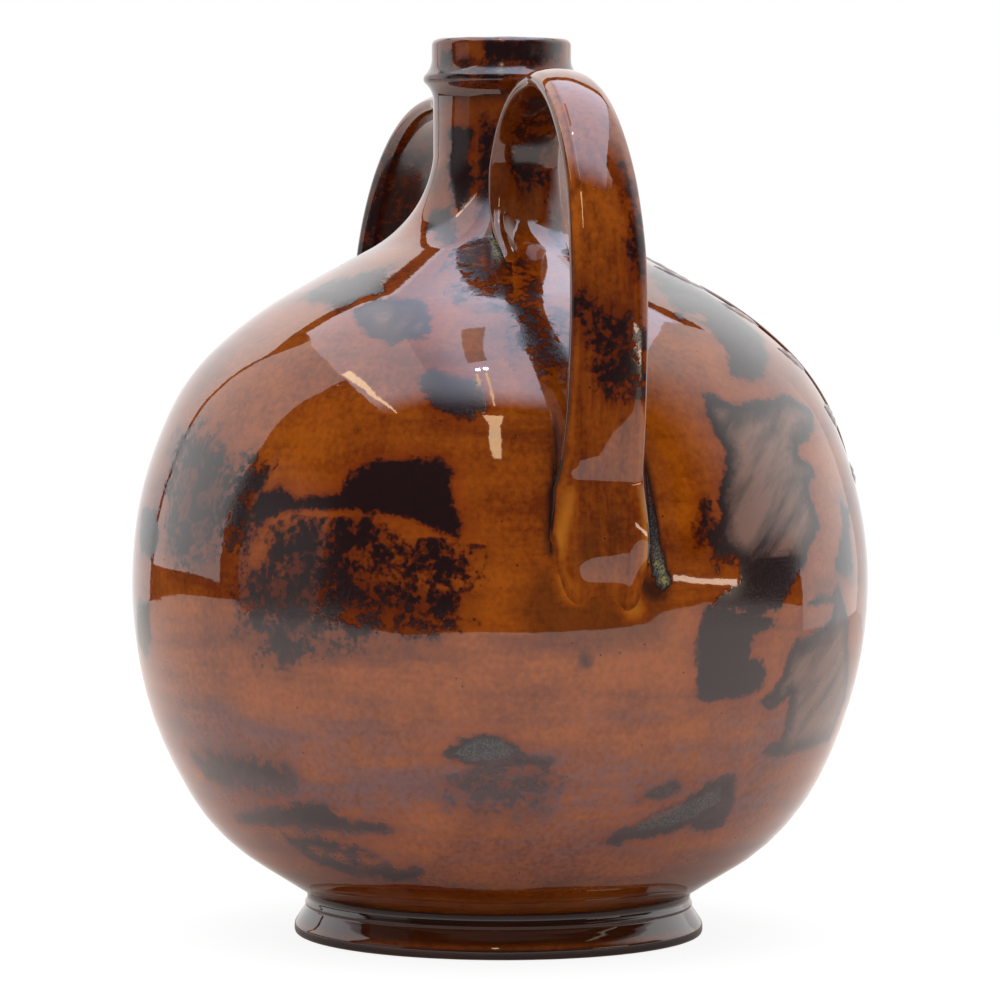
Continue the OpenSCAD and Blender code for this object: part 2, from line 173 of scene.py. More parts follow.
# Iron specks of a third of a millimetre, more of them in some parts than in others.
specks = add(tree, "TexVoronoi", {"Vector": place, "Scale": per_mm(3.4), "Randomness": 1.0})
dot = add(tree, "MapRange", {"Value": specks.outputs["Distance"], "From Min": 0.12, "From Max": 0.06}).outputs[0]
few = add(tree, "MapRange", {"Value": add(tree, "SeparateColor", {0: specks.outputs["Color"]}).outputs[0], "From Min": 0.13, "From Max": 0.1}).outputs[0]
dots = add(tree, "Math", {0: dot, 1: few}, operation="MULTIPLY").outputs[0]
colour = add(tree, "Mix", {0: dots, 6: colour, 7: linear("#2a0f08")}, data_type="RGBA").outputs[2]

# Height in mm: a soft waviness every 6 mm, an uneven skin of 1.6 mm, fine crystals on the dabs
# and the film, and pinholes.
wave = add(tree, "TexNoise", {"Vector": place, "Scale": per_mm(6), "Detail": 2, "Roughness": 0.4}).outputs["Fac"]
crystalline = add(tree, "Math", {0: full, 1: film_and_reflection_tint}, operation="ADD").outputs[0]
rough_height = add(tree, "Math", {0: crystals, 1: crystalline}, operation="MULTIPLY").outputs[0]
height = add(tree, "Math", {0: wave, 1: 0.022}, operation="MULTIPLY").outputs[0]
height = add(tree, "Math", {0: grain, 1: 0.005, 2: height}, operation="MULTIPLY_ADD").outputs[0]
height = add(tree, "Math", {0: rough_height, 1: 0.013, 2: height}, operation="MULTIPLY_ADD").outputs[0]
height = add(tree, "Math", {0: dots, 1: -0.02, 2: height}, operation="MULTIPLY_ADD").outputs[0]
bump = add(tree, "Bump", {"Height": height, "Distance": 0.001, "Strength": 1}).outputs[0]
sheen = add(tree, "MapRange", {"Value": rough_height, "From Max": 0.7, "To Min": 0.035, "To Max": 0.24}).outputs[0]

glassy = add(tree, "BsdfPrincipled", {"Base Color": colour, "Roughness": sheen, "IOR": 1.65, "Normal": bump})
add(tree, "OutputMaterial", {"Surface": glassy.outputs[0]})

# The clay itself, a buff-red earthenware with a fine sandy grit, bare only where the foot
# was wiped clean of glaze and has since worn on tables.
clay = bpy.data.materials.new("bare_earthenware")
clay.use_nodes = True
tree = clay.node_tree
tree.nodes.clear()
place = add(tree, "TexCoord").outputs["Object"]
grit = add(tree, "TexNoise", {"Vector": place, "Scale": per_mm(0.9), "Detail": 4, "Roughness": 0.7}).outputs["Fac"]
stain = add(tree, "TexNoise", {"Vector": place, "Scale": per_mm(12), "Detail": 4}).outputs["Fac"]
soil = add(tree, "MapRange", {"Value": stain, "From Min": 0.42, "From Max": 0.68}).outputs[0]
fired = add(tree, "Mix", {0: grit, 6: linear("#a8734a"), 7: linear("#c8976b")}, data_type="RGBA").outputs[2]
fired = add(tree, "Mix", {0: soil, 6: fired, 7: linear("#7b4b2e")}, data_type="RGBA").outputs[2]
pitted = add(tree, "Bump", {"Height": grit, "Distance": 0.0002, "Strength": 1}).outputs[0]
matt = add(tree, "BsdfPrincipled", {"Base Color": fired, "Roughness": 0.85, "Normal": pitted})
add(tree, "OutputMaterial", {"Surface": matt.outputs[0]})

# ---------------------------------------------------------------------------------------------
# The thrown pot: lower bowl, upper dome, neck and foot ring
# Thrown on the wheel in red-buff clay in two halves, luted at the widest line, with the neck
# drawn up and a foot ring turned from the base. The finger ridges still show as soft rings.

AROUND = 480                       # points round the pot, about 1.6 mm apart at its widest
GLOBE, EQUATOR = 123.5, 118.546    # largest radius and its height, mm


def turned_line(start, runs):
    """Points (radius, height) in mm along arcs (radius, first slope, last slope) and straights (0, slope, length)."""
    points = [start]
    for size, first, last in runs:
        r, z = points[-1]
        if size == 0:
            n = max(1, round(last / 1.6))
            points += [(r - math.sin(first) * last * i / n, z + math.cos(first) * last * i / n) for i in range(1, n + 1)]
        else:
            n = max(3, round(abs(size * (last - first)) / 1.5), round(abs(last - first) / 0.12))
            centre = (r - size * math.cos(first), z - size * math.sin(first))
            for i in range(1, n + 1):
                a = first + (last - first) * i / n
                points.append((centre[0] + size * math.cos(a), centre[1] + size * math.sin(a)))
    return points


def deg(*values):
    return [math.radians(v) for v in values]


SHOULDER = math.radians(61.7)
FLARE = (43.0, 230.242)
BORE, NECK, WALL = 17.0, 22.9, 6.0


def shoulder_line(out):
    """From the widest line up to where the neck begins, moved out by out mm."""
    return turned_line((GLOBE + out, EQUATOR), [
        (133.0 + out, *deg(0, 24.7)), (76.94 + out, *deg(24.7, 46.3)), (119.3 + out, *deg(46.3, 61.7)),
        (0, SHOULDER, 4.6)])[:-3] + [(FLARE[0] + out * math.cos(SHOULDER), FLARE[1] + out * math.sin(SHOULDER))]


def belly_line(out):
    """From the widest line down to the foot, moved out by out mm."""
    return turned_line((GLOBE + out, EQUATOR), [(138.94 + out, *deg(0, -29.4)), (72.99 + out, *deg(-29.4, -58))])


neck_start = FLARE
neck_line = turned_line(neck_start, [
    (-(FLARE[0] - NECK) / (1 - math.cos(SHOULDER)), SHOULDER, 0), (0, 0, 15.8), (-7.038, *deg(0, -50)),
    (2.2, *deg(-50, 45)), (-7.5, *deg(45, 0)), (0, 0, 4.4), (2.2, *deg(0, 90))])
TOP = neck_line[-1][1]
foot_cove = turned_line((65.54, 14.8), [(-2.9, *deg(-50, 45))])
foot_line = foot_cove + [(64.9, 9.6), (66.3, 7.4), (67.7, 5.3), (68.4, 4.2), (68.75, 3.4), (68.8, 2.6), (68.8, 1.5), (68.6, 0.7), (68.0, 0.2), (67.2, 0)]


def even(line, step):
    """The same line with a point about every step mm, corners softened."""
    line = np.array(line)
    run = np.r_[0, np.cumsum(np.hypot(*np.diff(line, axis=0).T))]
    at = np.linspace(0, run[-1], max(2, round(run[-1] / step) + 1))
    return np.c_[np.interp(at, run, line[:, 0]), np.interp(at, run, line[:, 1])]


foot_rows = even(foot_line, 0.5)[::-1]
belly_rows = np.array(belly_line(0))[::-1]
shoulder_rows = np.array(shoulder_line(0))
outer = np.vstack([foot_rows, belly_rows, shoulder_rows[1:], np.array(neck_line)[1:]])
FOOT_END = len(foot_rows)
BOWL_END = FOOT_END + len(belly_rows)
DOME_END = BOWL_END + len(shoulder_rows) - 1
run_up = np.r_[0, np.cumsum(np.hypot(*np.diff(outer, axis=0).T))]

# Manganese dabs that show from the front, as outlines in degrees round the pot and mm up it.
# The second number is how far the edge feathers: 3 is crisp, 12 breaks up into speckle.
DABS = [
    ("-41.5,159 -37,163.5 -32.5,164.5 -26,164 -24,161 -23.5,157 -23.5,150.5 -22.5,147.5 -22,143 -22.5,140 "
     "-27.5,144.5 -34.5,147 -47.5,149 -51,147.5 -53.5,144.5 -58,142 -59.5,149 -60.5,150.5 -52.5,155 -48.5,151 -41.5,154.5", 4),
    ("-43,132.5 -40,134.5 -31,124 -23,119 -25,115.5 -37.5,115 -42,116.5 -43.5,123.5", 14),
    ("-30.5,135 -27,138 -22.5,137 -22,130 -24.5,127.5 -28,130", 15),
    ("-41.5,145.5 -38,146 -33.5,141 -34.5,136.5 -40,136.5", 14),
    ("-52.5,141.5 -48,144.5 -42.5,143.5 -42,120.5 -43,107.5 -47.5,104 -53,102 -54.5,106.5 -55,116 -57,119 -57,125 -51,128.5", 12),
    ("-86,169 -74,169 -68.5,162.5 -63,159.5 -60,155 -60.5,140.5 -65,137 -71,131.5 -75.5,132.5 -78.5,142 -78,148.5 -82,154.5 -80.5,163", 12),
    ("-96,145 -84.5,145.5 -81.5,135 -84,128.5 -90.5,129", 5),
    ("-93,114 -84.5,113.5 -85,102 -90.5,94.5 -95.5,100", 5),
    ("-55,210.5 -49,214 -37.5,214 -32.5,208.5 -31,203.5 -33,201.5 -37,201 -39,199.5 -43,201.5", 3),
    ("-31,189.5 -29,191.5 -26.5,191 -20,187 -19,183 -19,179.5 -21.5,178 -26.5,179.5 -29.5,185", 4),
    ("-79.5,213.5 -85,219 -76.5,221.5 -67.5,222.5 -55,220.5 -49.5,218.5 -51,216.5 -55,213.5 -56.5,210.5", 4),
    ("-37.5,228.5 -26,229.5 -15,227.5 -14,222 -18,219 -27,219.5 -33.5,223", 14),
    ("-62.5,235.5 -43,231.5 -38.5,232 -38,234.5 -53.5,244.5 -70.5,243", 5),
    ("-62,270 -51,271 -41.5,269.5 -43,259.5 -38.5,249.5 -41,243.5 -48,243 -58,249.5 -65,259.5", 5),
    ("21,184 24.5,184.5 26.5,181 46,184 52,177.5 51.5,174.5 41.5,166.5 40.5,164 43,162.5 44,157.5 40,154.5 42,141.5 "
     "40,137 36.5,128.5 21.5,127 21.5,131.5 18.5,137.5 18.5,141 19,151.5 22,165.5 20.5,171.5", 3),
    ("39,134 33,122.5 30,114.5 25,113 17,119 21.5,126 21.5,131.5 20,135 30,139", 4),
    ("16.5,118.5 15,115.5 14,106 13.5,101.5 14,95 15,89.5 16,88 22,88.5 27.5,91 28.5,95 27.5,100 24.5,101.5 24,105 24.5,107 29.5,112.5", 4),
    ("46.5,121.5 44.5,119 40.5,119 37,117.5 37,115.5 44.5,115.5 44,110.5 36.5,105 34,105.5 33,102.5 30.5,89.5 28.5,88.5 "
     "27.5,86 30.5,82.5 34.5,86 35.5,76 35,72.5 32.5,71.5 31.5,69 35,67 39.5,67 56.5,68.5 58,82 55,95.5 51,109.5", 3.2),
    ("51.5,148.5 50,140.5 46,130 45.5,126 49.5,124 53,125 53,135.5 56,145", 4),
    ("53.5,225 35,217 28,208 37,209.5 38.5,208 35.5,206 34,197.5 32,194 31,190 33.5,188.5 39,189.5 50,196 56.5,202 56.5,208.5 60.5,217 65,222.5", 4),
    ("15.5,148 17,150 18.5,139 21,131 18.5,132 15.5,140.5 14.5,142.5", 9),
    ("-26,72 -24,76 -19.5,79.5 -16,79 -13.5,74.5 -11.5,71 -8,70 -9.5,67.5 -13,67.5 -16.5,68.5 -21.5,68.5", 4),
    ("-20,67.5 -14.5,68.5 -9,69 -9,65 -10.5,58.5 -15,57 -20,58.5 -23.5,61.5", 13),
    ("2.5,42 5.5,46 14.5,50.5 17,55 20,59.5 24,62.5 26.5,61.5 28.5,52 28.5,44.5 24.5,43 20,46 14.5,42.5 9,42.5 4.5,41", 4),
    ("8,56 10,60 13,61.5 15.5,61 15,58.5 12,56.5", 6),
    ("-74.5,44 -53,53.5 -47.5,54 -45,50 -42.5,48 -35,48 -36.5,45", 6),
    ("-60.5,41 -49.5,41 -42.5,38.5 -42,36.5 -61,37.5", 7),
    ("-59,36 -37,31 -33,31 -34.5,28 -45.5,27.5 -56.5,31", 7),
    ("-80.5,64.5 -70.5,67.5 -59,67.5 -54,65 -52.5,59.5 -54.5,56.5 -77.5,58.5", 9),
    ("-30,300 -29.5,298 -28,293 -17.5,291 7,290.5 34.5,292 44,297.5 40,301", 8),
    ("-80,297 -62.5,296 -58,292 -71,291.5", 8),
    ("-89,288.5 -40,287 -17.5,286 -2,286 -2,289 -33.5,290 -62,290.5", 10),
    ("-30,272.5 -30.5,253 -28,243.5 -25,244.5 -24.5,256 -24.5,269.5", 10),
    ("-14.5,213 -9,214 -6.5,209.5 -4,205 -3,200 -3,196 -7,195 -10.5,200 -13.5,207", 13),
    ("-10,227.5 -6,227.5 -6.5,214 -10.5,213", 7),
    ("-31.5,161.5 -31,152 -32,149.5 -33.5,155", 12),
    ("-70,156 -62,159.5 -56.5,157 -55,144.5 -60.5,137.5 -67.5,140 -73,147.5", 15),
    ("-56.5,112.5 -47,116.5 -39.5,115.5 -39,111.5 -45.5,107.5 -52.5,108", 15),
]


def read_outlines(rows):
    """Turns each outline's text into (degrees, mm up) corners."""
    return [([tuple(map(float, p.split(","))) for p in row[0].split()], *row[1:]) for row in rows]


dabs = read_outlines(DABS)

# Spots where the glaze lies deeper or thinner: outline, depth as above, mm of soft edge. It is deep
# beside the strap's tip, in the crevices by its root and in two low dabs, thin where two ribs end.
POOLS = [
    ("-22.6,234.5 -19.4,229.3 -16.1,224.8 -12.9,222 -9.5,222.9 -11.2,224.8 -14.5,227.4 -17.9,233.2", 2, 2.5),
    ("-7.3,178 -8.3,161.6 -9.2,152.3 -9.6,140 -9.2,135 -8.8,136.3 -8.6,150.8 -7.6,161.6", 1.0, 1.3),
    ("7.1,165.9 7.2,158.2 7.5,145.7 7.9,139 6,139 6,142.7 6.6,158.2", 1.35, 1.2),
    ("7.8,139 8.3,133.2 8.6,131 6.4,131 6,139", 1.65, 1.4),
    ("8.2,133 8.4,131.2 9.3,125.6 7.9,124.5 6.8,129 6.6,133", 2, 1.6),
    ("4.4,126.5 8.1,127.0 8.2,121.6 5.2,120.9", 0.9, 4),
    ("-10.6,126.0 -7.7,128.2 -1.8,119.9 4.4,119.0 8.2,116.9 7.3,110.6 -1.7,108.6 -8.9,110.7 -12.1,117.6", 0.5, 9),
    ("-4.5,103.3 -3.4,103.6 -3.1,100.7 -4.1,100.1", 0.9, 2),
    ("-23.9,72.1 -19.7,77.5 -16.1,77.2 -13.9,72.9 -16.0,70.6 -21.1,69.6", 1.42, 2),
    ("7.2,45.2 11.6,50.6 18.0,54.6 24.0,58.9 25.3,54.0 21.4,49.4 15.3,45.7", 1.3, 2.5),
    ("-7.6,128.5 -6.6,128.9 -4.9,124.6 -4.9,121.6 -6.3,121.9 -7.3,124.9", -0.8, 4),
    ("1.7,123.5 2.9,123.9 4.4,119.4 4.2,116.6 3.0,116.4 1.9,119.3", -0.8, 4),
]

# The far side was dabbed in the same way: torn patches 25 to 70 mm long that lie at a slant.
dice = random.Random(11)
for k in range(30):
    mid, high = 72 + 182 * ((k * 0.618) % 1) + dice.uniform(-8, 8), 22 + 205 * ((k + 0.5) / 30)
    girth = float(np.interp(high, outer[FOOT_END:DOME_END, 1], outer[FOOT_END:DOME_END, 0]))
    long, wide, slant = dice.uniform(13, 34), dice.uniform(6, 15), math.radians(dice.choice((-1, 1)) * dice.uniform(5, 60))
    shape = []
    for i in range(11):
        a, out = 2 * math.pi * i / 11, dice.uniform(0.65, 1.2)
        x, y = long * out * math.cos(a), wide * out * math.sin(a)
        x, y = x * math.cos(slant) - y * math.sin(slant), x * math.sin(slant) + y * math.cos(slant)
        shape.append((mid + math.degrees(x / girth), high + y))
    dabs.append((shape, dice.choice((3, 4, 5, 8, 13))))


def inside_by(shape, angle, level, girth):
    """How many mm each point lies inside the outline, less than zero outside it."""
    shape = np.array(shape)
    turn = (angle[:, None] - shape[None, :, 0] + 180) % 360 - 180
    x, y = -np.radians(turn) * girth[:, None], shape[None, :, 1] - level[:, None]
    x2, y2 = np.roll(x, -1, 1), np.roll(y, -1, 1)
    ex, ey = x2 - x, y2 - y
    t = np.clip(-(x * ex + y * ey) / (ex * ex + ey * ey + 1e-12), 0, 1)
    gap = np.hypot(x + t * ex, y + t * ey).min(1)
    crossed = ((y > 0) != (y2 > 0)) & (x - y * ex / np.where(ey == 0, 1e-12, ey) > 0)
    return np.where(crossed.sum(1) % 2 == 1, gap, -gap)


def dab_fields(angle, level, girth, shapes):
    """The dab and feather fields at points given in degrees, mm up and mm from the axis."""
    field, soft = np.full(len(angle), -25.0), np.full(len(angle), 4.0)
    for shape, edge in shapes:
        a, z = np.array(shape).T
        mid, half = (a.min() + a.max()) / 2, (a.max() - a.min()) / 2 + 14
        near = (abs((angle - mid + 180) % 360 - 180) < half + 600 / girth) & (level > z.min() - 20) & (level < z.max() + 20)
        d = inside_by(shape, angle[near], level[near], girth[near])
        better = d > field[near]
        field[near] = np.where(better, d, field[near])
        soft[near] = np.where(better, edge, soft[near])
    return field, soft


# The wall is not true: it wavers by a tenth of a millimetre or so over 30 to 90 mm, and
# finger ridges run round it every 8 mm, plainest low on the belly.
angles = np.arange(AROUND) * 2 * math.pi / AROUND
slope = np.gradient(outer, axis=0)
slope /= np.hypot(*slope.T)[:, None]
facing = np.c_[slope[:, 1], -slope[:, 0]]
waver = np.zeros((len(outer), AROUND))
dice = random.Random(5)
for k in range(26):
    rings, length, turn = dice.randint(2, 11), dice.uniform(36, 110), dice.uniform(0, 6.28)
    waver += 0.035 * np.sin(rings * angles[None] + dice.choice((-1, 1)) * 6.283 * run_up[:, None] / length + turn)
low = np.clip((150 - outer[:, 1]) / 90, 0.15, 1) * np.clip((outer[:, 1] - 15) / 10, 0, 1)
finger = 0.03 * np.sin(6.283 * run_up[:, None] / 8.3 + 0.9 * np.sin(angles[None]) + 2 * np.sin(run_up[:, None] / 23))
waver = waver * np.clip((outer[:, 1:] - 2) / 16, 0, 1) * np.where(outer[:, 1:] > 262, 0.35, 1) + finger * low[:, None]
skin = outer[:, None, :] + facing[:, None, :] * waver[:, :, None]
skin = np.dstack([skin[..., 0] * np.cos(angles), skin[..., 0] * np.sin(angles), skin[..., 1]])
skin_normals = np.cross(np.roll(skin, -1, 1) - np.roll(skin, 1, 1), np.gradient(skin, axis=0))
skin_normals /= np.linalg.norm(skin_normals, axis=2)[:, :, None]

girth = np.repeat(outer[:, 0], AROUND)
level = np.repeat(outer[:, 1], AROUND)
bearing = np.tile(np.degrees(angles), len(outer))
dab_field, feather_field = dab_fields(bearing, level, girth, dabs)
depth_field = 0.3 * np.clip((level - 236) / 14, 0, 1) + 0.8 * np.clip((30 - level) / 14, 0, 1)
for z, width, amount in ((13.6, 2.6, 0.4), (7.4, 3.2, 0.1), (4.0, 0.9, -0.7), (1.6, 1.8, 0.7), (281.8, 2.6, 0.6), (286.8, 1.6, -0.5), (290.5, 1.8, 0.6), (299, 1.6, 0.3)):
    depth_field += amount * np.exp(-((level - z) / width) ** 2)
depth_field = np.minimum(depth_field, 1)
for shape, amount, blur in read_outlines(POOLS):
    d = inside_by(shape, bearing, level, girth)
    lie = np.clip((d + blur) / (1.3 * blur), 0, 1)
    lie = amount * lie * lie * (3 - 2 * lie)
    depth_field = np.maximum(depth_field, lie) if amount > 0 else depth_field * (1 + lie) + lie
dab_field, feather_field, depth_field = (f.reshape(len(outer), AROUND) for f in (dab_field, feather_field, depth_field))


def turned_piece(name, first, last, closing, closed):
    """Revolves outer rows first to last, and the closing line behind them, as one solid."""
    rows = [skin[i] for i in range(first, last)]
    fields = [np.stack([f[i] for i in range(first, last)]) for f in (dab_field, feather_field, depth_field)]
    for r, z in closing:
        rows.append(np.c_[r * np.cos(angles), r * np.sin(angles), np.full(AROUND, z)])
    lead = 0
    if not closed:                       # the underside comes first, out from the axis
        under = [r for r in rows if abs(r[0][2] - 11) < 1e-6]
        rows = under + [r for r in rows if abs(r[0][2] - 11) >= 1e-6]
        lead = len(under)
    count = len(rows)
    points = np.vstack(rows) * 0.001
    faces, loop_normals = [], []
    for i in range(count if closed else count - 1):
        n = (i + 1) % count
        shown = lead <= i and i + 1 < lead + last - first
        for j in range(AROUND):
            k = (j + 1) % AROUND
            faces.append((i * AROUND + j, i * AROUND + k, n * AROUND + k, n * AROUND + j))
            if shown:
                a, b = first + i - lead, first + i + 1 - lead
                loop_normals += [skin_normals[a, j], skin_normals[a, k], skin_normals[b, k], skin_normals[b, j]]
            else:
                loop_normals += [(0, 0, 0)] * 4
    extra = []
    if not closed:
        for ring, z, flip in ((0, rows[0][0][2], True), (count - 1, rows[-1][0][2], False)):
            centre = len(points) + len(extra)
            extra.append((0, 0, z * 0.001))
            for j in range(AROUND):
                k = (j + 1) % AROUND
                a, b = ring * AROUND + j, ring * AROUND + k
                faces.append((b, a, centre) if flip else (a, b, centre))
                loop_normals += [(0, 0, 0)] * 3
    if extra:
        points = np.vstack([points, extra])
    mesh = bpy.data.meshes.new(name)
    mesh.from_pydata(points.tolist(), [], faces)
    mesh.shade_smooth()
    for title, field, rest in zip(("dab", "feather", "depth"), fields, (-25.0, 4.0, 0.0)):
        values = np.full(len(points), rest, dtype=np.float32)
        values[lead * AROUND:(lead + last - first) * AROUND] = field.ravel()
        mesh.attributes.new(title, "FLOAT", "POINT").data.foreach_set("value", values)
    mesh.normals_split_custom_set([tuple(n) for n in loop_normals])
    mesh.materials.append(glaze)
    piece = bpy.data.objects.new(name, mesh)
    bpy.context.scene.collection.objects.link(piece)
    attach(piece, "root")
    return piece


def coarser(line, step=5):
    return [tuple(p) for p in even(line, step)]


floor_z = 19.0
inner_belly = belly_line(-WALL)
hip_r, hip_z = inner_belly[-1]
floor_curve = (hip_z - floor_z) / (1 - math.sin(math.radians(58)))
inner_floor = turned_line((hip_r, hip_z), [(floor_curve, *deg(-58, -90))])
bowl_inside = coarser([(GLOBE - WALL, EQUATOR)] + inner_belly[1:] + inner_floor[1:-1] + [(2, floor_z)])
bowl = turned_piece("lower_bowl_glazed", FOOT_END, BOWL_END, [(2, 11), (20, 11), (40, 11), (53, 11), (59.455, 11)] + bowl_inside, False)
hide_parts("lower_bowl")

dome_inside = coarser(shoulder_line(-WALL))[::-1]
dome = turned_piece("upper_dome_glazed", BOWL_END - 1, DOME_END, dome_inside, True)
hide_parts("upper_dome")

inner_flare = (FLARE[0] - WALL * math.cos(SHOULDER), FLARE[1] - WALL * math.sin(SHOULDER))
throat = turned_line(inner_flare, [(-(inner_flare[0] - BORE) / (1 - math.cos(SHOULDER)), SHOULDER, 0)])
mouth = turned_line((BORE, TOP - 1.2), [(-1.2, *deg(0, -90))])
bore_line = [(BORE + 1.2, TOP), (BORE + 0.85, TOP - 0.1), (BORE + 0.35, TOP - 0.35), (BORE + 0.1, TOP - 0.85), (BORE, TOP - 1.2)]
neck_inside = bore_line + [tuple(p) for p in even([(BORE, TOP - 3)] + throat[::-1], 2.5)]
neck = turned_piece("neck_glazed", DOME_END - 1, len(outer), neck_inside, True)
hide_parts("neck")

foot_inside = [(66.0, 0), (62, 0), (57, 0), (56, 0), (55.3, 0.3), (55, 1), (54.2, 6), (53.5, 10.9), (59.4, 10.9)]
foot = turned_piece("foot_ring_glazed", 0, FOOT_END, foot_inside[::-1], True)
foot.data.materials.append(clay)
for face in foot.data.polygons:
    if max(foot.data.vertices[v].co.z for v in face.vertices) < 0.0004:
        face.material_index = 1
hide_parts("foot_ring")

# ---------------------------------------------------------------------------------------------
# The two strap handles
# Each was pulled from a lump of clay with wet fingers, which left a swelling middle and pinched
# edges. Pressed down the neck, arched out and luted to the globe, where the thumbs left two ribs.
HALF, LEG_Z, ROOT_SLOPE = 4.1, 205.0, math.radians(16)       # half thickness, height of the leg, mm
neck_radius = (FLARE[0] - NECK) / (1 - math.cos(SHOULDER))
neck_foot = FLARE[1] + neck_radius * math.sin(SHOULDER)
seat_z, seat_r = outer[FOOT_END:, 1], outer[FOOT_END:, 0]
seat_facing = facing[FOOT_END:]

# Stations run from the tip on the shoulder (0) up the neck (1), over the arch (2), down the leg
# (3 to 4) to the end of the root (5). Half widths in mm, thickness in half thicknesses.
widths = [(0, 11.5), (0.1, 13), (0.4, 13.3), (1, 12), (1.6, 10.4), (2, 9.2), (2.35, 10.6), (2.8, 12.5), (3.3, 13.1), (3.7, 13.8), (4, 14.9), (4.33, 15.9), (4.6, 15.9), (4.8, 15.2), (5, 13.5)]
thicks = [(0, 0.86), (1, 0.86), (1.6, 0.96), (2, 1), (3, 1), (3.6, 0.9), (4, 0.68), (5, 0.68)]
tip_mid = [(0, -0.3), (0.2, -0.2), (0.36, 0), (0.5, 0.12), (0.75, 0.6), (0.9, 0.86)]
tip_rim = [(0, -0.3), (0.03, -0.06), (0.1, 0.2), (0.22, 0.42), (0.45, 0.56), (0.7, 0.7), (0.9, 0.86)]
root_mid = [(4.1, 0.68), (4.35, 0.52), (4.58, 0.4), (4.76, 0.05), (4.9, -0.04), (5, -0.1)]
root_rim = [(4.1, 0.68), (4.3, 0.53), (4.5, 0.34), (4.7, 0.17), (4.85, 0.06), (4.95, -0.02), (5, -0.1)]


def table(u, pairs):
    x, y = zip(*pairs)
    return float(np.interp(u, x, y))


def soft(t):
    t = np.clip(t, 0, 1)
    return t * t * (3 - 2 * t)


def rounded(u, pairs):
    """The table's value with its corners rounded over a tenth of a station."""
    return sum(table(u + d, pairs) for d in np.linspace(-0.1, 0.1, 7)) / 7


def along_way(a):
    return np.array([math.cos(a), math.sin(a)])


def strap_middle(u, top, leg):
    """Middle of the strap in the plane of the handle, mm from the axis and up."""
    thick = HALF * table(u, thicks)
    low = min(neck_foot, max(top[1] - 28, neck_foot - 12))
    centre = np.array(FLARE) + neck_radius * along_way(SHOULDER)

    def neck_side(t, d):
        if t < 0.25:
            start = np.array(FLARE) + 12 * np.array([math.sin(SHOULDER), -math.cos(SHOULDER)])
            return start + (np.array(FLARE) - start) * t / 0.25 + d * along_way(SHOULDER)
        end = math.asin((neck_foot - low) / (neck_radius - d))
        return centre - (neck_radius - d) * along_way(SHOULDER + (end - SHOULDER) * (t - 0.25) / 0.75)

    def globe_side(a, d):
        return np.array([GLOBE - 133.0, EQUATOR]) + (133.0 + d) * along_way(a)

    if u < 1:
        return neck_side(u, thick)
    if u < 2:
        start, a = neck_side(1, HALF * 0.86), math.pi / 2 * (u - 1)
        d = np.array(top) - start
        return np.array([top[0] - d[0] * max(math.cos(a), 0) ** (2 / 1.85), top[1] - d[1] * (1 - math.sin(a) ** (2 / 1.85))])
    if u < 3:
        a = math.pi / 2 * (3 - u)
        return np.array([top[0] + (leg - top[0]) * math.cos(a), LEG_Z + (top[1] - LEG_Z) * math.sin(a)])
    if u < 4:
        a, d = np.array([leg, LEG_Z]), globe_side(ROOT_SLOPE, HALF * table(4, thicks))
        l, t = (LEG_Z - d[1]) / 3, u - 3
        b, c = a + [0.9, -2.1 * l], d - 0.35 * l * np.array([math.sin(ROOT_SLOPE), -math.cos(ROOT_SLOPE)])
        s = 1 - t
        return s ** 3 * a + 3 * s * s * t * b + 3 * s * t * t * c + t ** 3 * d
    return globe_side(ROOT_SLOPE * (5 - u) - math.radians(1) * (u - 4), thick)


def free_height(u, q, h):
    """Height of the free face above the wall in mm where the strap is luted on. Its middle melts in
    first, then its rims, and at last the section's edge runs out flat into the wall."""
    if u < 1:
        rim = float(soft((-q - 0.3) / 0.6))
        lift = rounded(u, tip_mid) * (1 - rim) + rounded(u, tip_rim) * rim
        flat = soft((0.1 - u) / 0.1) if q < 0 else soft((0.85 - u) / 0.5)
    else:
        rim = float(soft((abs(q) - 0.2) / 0.35))
        lift = rounded(u, root_mid) * (1 - rim) + rounded(u - (0.05 if q > 0 else 0), root_rim) * rim
        flat = soft((u - (4.1 if q < 0 else 4.4)) / 0.4)
    run_out = float(soft((1 - abs(q)) / 0.5))
    return HALF * lift * ((1 + h) * (1 - flat) + 2 * run_out * flat) - 0.3 * flat * (1 - run_out)


# The section from its middle to one edge: a low pillow whose edges fingers pinched off at a slant.
half_section = [(0, 1.0), (0.2, 0.975), (0.4, 0.91), (0.55, 0.835), (0.66, 0.765), (0.73, 0.7), (0.8, 0.61), (0.87, 0.5), (0.93, 0.39), (0.965, 0.28), (0.99, 0.13),
                (1, -0.05), (0.985, -0.3), (0.9, -0.52), (0.72, -0.7), (0.45, -0.8), (0.2, -0.82)]
section = [(-x, y) for x, y in half_section[:0:-1]] + half_section + [(0, -0.82)]
section = section[16:] + section[:16]
smooth_section = []
for i in range(len(section)):
    p = [np.array(section[(i + k) % len(section)]) for k in (-1, 0, 1, 2)]
    for t in (0, 0.5):
        smooth_section.append(0.5 * (2 * p[1] + (p[2] - p[0]) * t + (2 * p[0] - 5 * p[1] + 4 * p[2] - p[3]) * t * t + (3 * p[1] - p[0] - 3 * p[2] + p[3]) * t ** 3))


